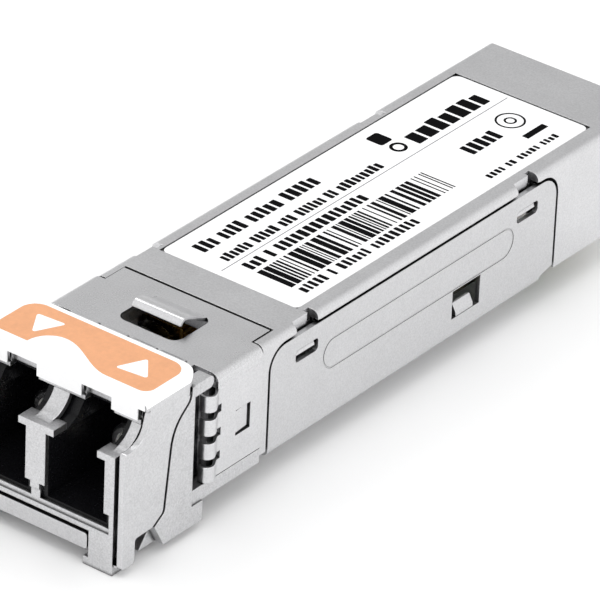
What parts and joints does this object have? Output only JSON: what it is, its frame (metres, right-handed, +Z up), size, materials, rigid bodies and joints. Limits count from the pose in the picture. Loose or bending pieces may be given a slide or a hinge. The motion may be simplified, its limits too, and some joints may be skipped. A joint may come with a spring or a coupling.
{
  "type": "optical transceiver module",
  "caption": "Pluggable optical transceiver: slim metal module with two fibre ports, a colour-coded pull-down bail, a sprung contact sleeve, a latch and a card edge.",
  "frame": {"origin": "centre of the bounding box in X and Y, on the plane through the nose's lowest points", "axes": "+X across, towards the receive port; +Y along the module from the ports to the card edge; +Z up, out of the labelled face"},
  "size_m": [0.0144, 0.0556, 0.0117],
  "materials": {
    "cast_nickel": "satin plated casting",
    "spring_steel": "fine satin sheet",
    "cover_steel": "fine satin sheet",
    "tray_steel": "fine satin sheet",
    "bail_steel": "fine satin sheet",
    "pin_steel": "ground",
    "rocker_steel": "satin",
    "barrel_steel": "turned",
    "clamp_aluminium": "satin",
    "gold_plate": "gold plated",
    "zirconia": "polished",
    "black_plastic": "moulded, semi-gloss",
    "amber_film": "film",
    "board_laminate": "solder mask",
    "chip_plastic": "moulded",
    "chip_ceramic": "matt",
    "gap_pad": "soft",
    "cover_label_paper": "coated",
    "bail_label_paper": "coated, with an orange colour code"
  },
  "bodies": {
    "housing": {"nose_base": "cast_nickel", "contact_sleeve": "spring_steel", "upper_cover": "cover_steel", "bottom_tray": "tray_steel", "rocker_axle": "pin_steel", "latch_spring": "spring_steel", "port_insert": "black_plastic", "transmit_barrel": "barrel_steel", "receive_barrel": "barrel_steel", "transmit_alignment_sleeve": "zirconia", "receive_alignment_sleeve": "zirconia", "transmit_fibre_stub": "zirconia", "receive_fibre_stub": "zirconia", "laser_can": "gold_plate", "detector_can": "gold_plate", "transmit_flex": "amber_film", "receive_flex": "amber_film", "optics_clamp": "clamp_aluminium", "circuit_board": "board_laminate", "edge_contacts": "gold_plate", "laser_driver_chip": "chip_plastic", "microcontroller_chip": "chip_plastic", "memory_chip": "chip_plastic", "passive_components": "chip_ceramic", "thermal_pad": "gap_pad", "cover_label": "cover_label_paper"},
    "bail": {"bail": "bail_steel", "bail_label": "bail_label_paper", "bail_shaft": "pin_steel"},
    "latch": {"latch_rocker": "rocker_steel"}
  },
  "joints": [
    {"name": "bail_hinge", "type": "hinge", "parent": "housing", "child": "bail", "pos_m": [0, -0.0269, 0.0013], "axis": [1, 0, 0], "range_deg": [0, 90]},
    {"name": "rocker_hinge", "type": "hinge", "parent": "housing", "child": "latch", "pos_m": [0, -0.02375, 0.0018], "axis": [1, 0, 0], "range_deg": [0, 7], "deforming": ["latch_spring"]}
  ],
  "couplings": [
    {"joint": "rocker_hinge", "follows": "bail_hinge", "ratio": 0.06815}
  ]
}
